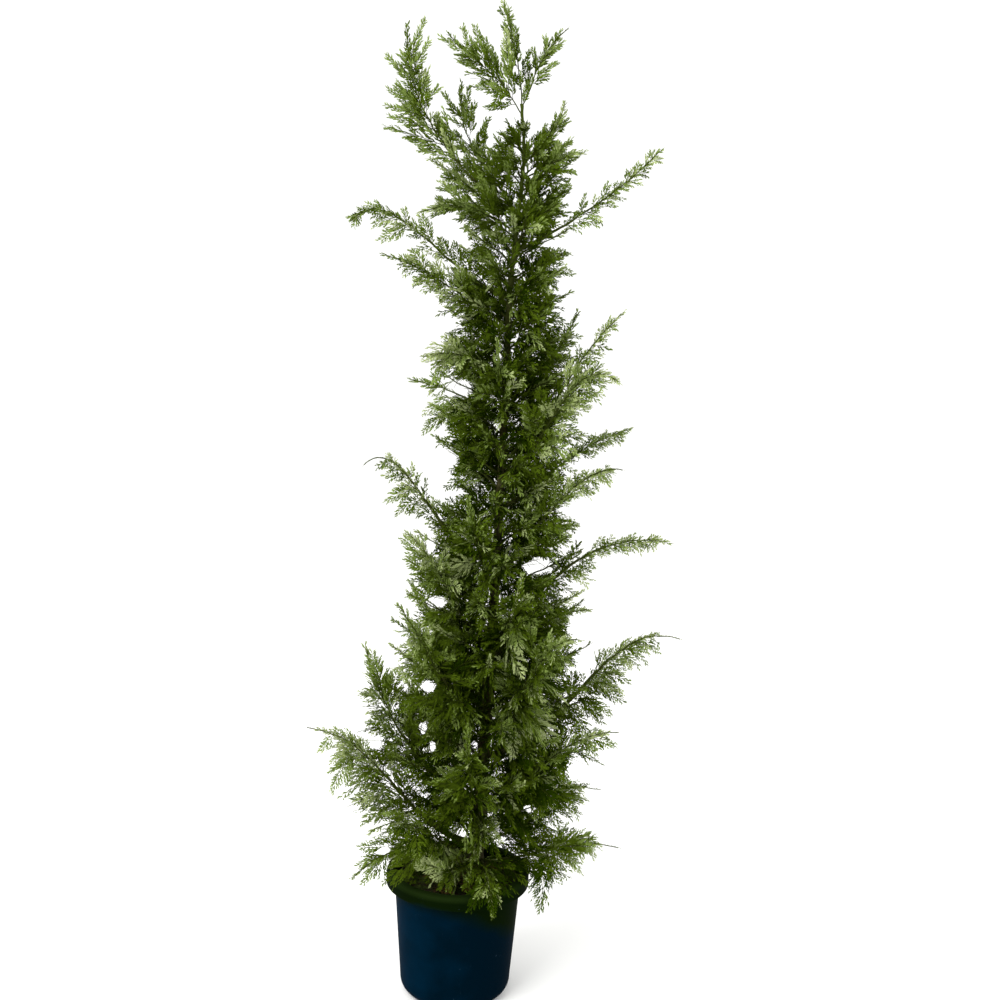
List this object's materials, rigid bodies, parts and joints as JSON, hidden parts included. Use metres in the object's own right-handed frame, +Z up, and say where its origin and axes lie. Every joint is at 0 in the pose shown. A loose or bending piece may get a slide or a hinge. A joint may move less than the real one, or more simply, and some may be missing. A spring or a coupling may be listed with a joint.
{
  "type": "potted leyland cypress",
  "caption": "Slim young evergreen conifer with feathery drooping sprays, tapering to a pointed leader, standing in a round tapered nursery pot with a turned-down rim.",
  "frame": {"origin": "middle of the pot's flat underside", "axes": "+Z up along the pot's axis; -Y towards the side the picture shows; +X to the right of that view"},
  "size_m": [0.7334, 0.4854, 1.92],
  "materials": {
    "pot_plastic": "smooth moulded polypropylene, dark navy with a green tint at the rim, lightly scuffed",
    "peat_compost": "damp fibrous peat compost",
    "cypress_bark": "thin smooth reddish brown bark with fine lengthwise cracks",
    "cypress_foliage": "soft scale-leaved sprays, dull olive to grey-green"
  },
  "bodies": {
    "root": {"pot": "pot_plastic", "soil": "peat_compost", "trunk": "cypress_bark", "limb_crown_left": "cypress_bark", "limb_foot_left_far": "cypress_bark", "limb_foot_left_tall": "cypress_bark", "limb_foot_right_long": "cypress_bark", "limb_lower_right_long": "cypress_bark", "limb_upper_left_long": "cypress_bark", "limb_upper_right_long": "cypress_bark", "limb_waist_left_long": "cypress_bark", "foliage_crown_inner_left": "cypress_foliage", "foliage_crown_left": "cypress_foliage", "foliage_crown_right": "cypress_foliage", "foliage_fill_back_1": "cypress_foliage", "foliage_fill_back_4": "cypress_foliage", "foliage_fill_back_6": "cypress_foliage", "foliage_fill_front_0": "cypress_foliage", "foliage_fill_front_2": "cypress_foliage", "foliage_fill_front_3": "cypress_foliage", "foliage_fill_front_5": "cypress_foliage", "foliage_fill_front_7": "cypress_foliage", "foliage_foot_left_back": "cypress_foliage", "foliage_foot_left_far": "cypress_foliage", "foliage_foot_left_low": "cypress_foliage", "foliage_foot_left_tall": "cypress_foliage", "foliage_foot_right": "cypress_foliage", "foliage_foot_right_back": "cypress_foliage", "foliage_foot_right_long": "cypress_foliage", "foliage_lower_left_back": "cypress_foliage", "foliage_lower_left_side": "cypress_foliage", "foliage_lower_left_upright": "cypress_foliage", "foliage_lower_right_back": "cypress_foliage", "foliage_lower_right_front": "cypress_foliage", "foliage_lower_right_long": "cypress_foliage", "foliage_middle_left_back": "cypress_foliage", "foliage_middle_left_front": "cypress_foliage", "foliage_middle_right_back": "cypress_foliage", "foliage_middle_right_front": "cypress_foliage", "foliage_middle_right_long": "cypress_foliage", "foliage_rim_front": "cypress_foliage", "foliage_rim_front_left": "cypress_foliage", "foliage_rim_left": "cypress_foliage", "foliage_rim_right": "cypress_foliage", "foliage_shoulder_back": "cypress_foliage", "foliage_shoulder_left": "cypress_foliage", "foliage_shoulder_left_high": "cypress_foliage", "foliage_shoulder_right": "cypress_foliage", "foliage_top_leader": "cypress_foliage", "foliage_top_left": "cypress_foliage", "foliage_top_right": "cypress_foliage", "foliage_upper_left": "cypress_foliage", "foliage_upper_left_long": "cypress_foliage", "foliage_upper_right_back": "cypress_foliage", "foliage_upper_right_long": "cypress_foliage", "foliage_waist_left": "cypress_foliage", "foliage_waist_left_long": "cypress_foliage", "foliage_waist_right": "cypress_foliage", "foliage_waist_right_back": "cypress_foliage", "foliage_waist_right_front": "cypress_foliage"}
  },
  "joints": []
}
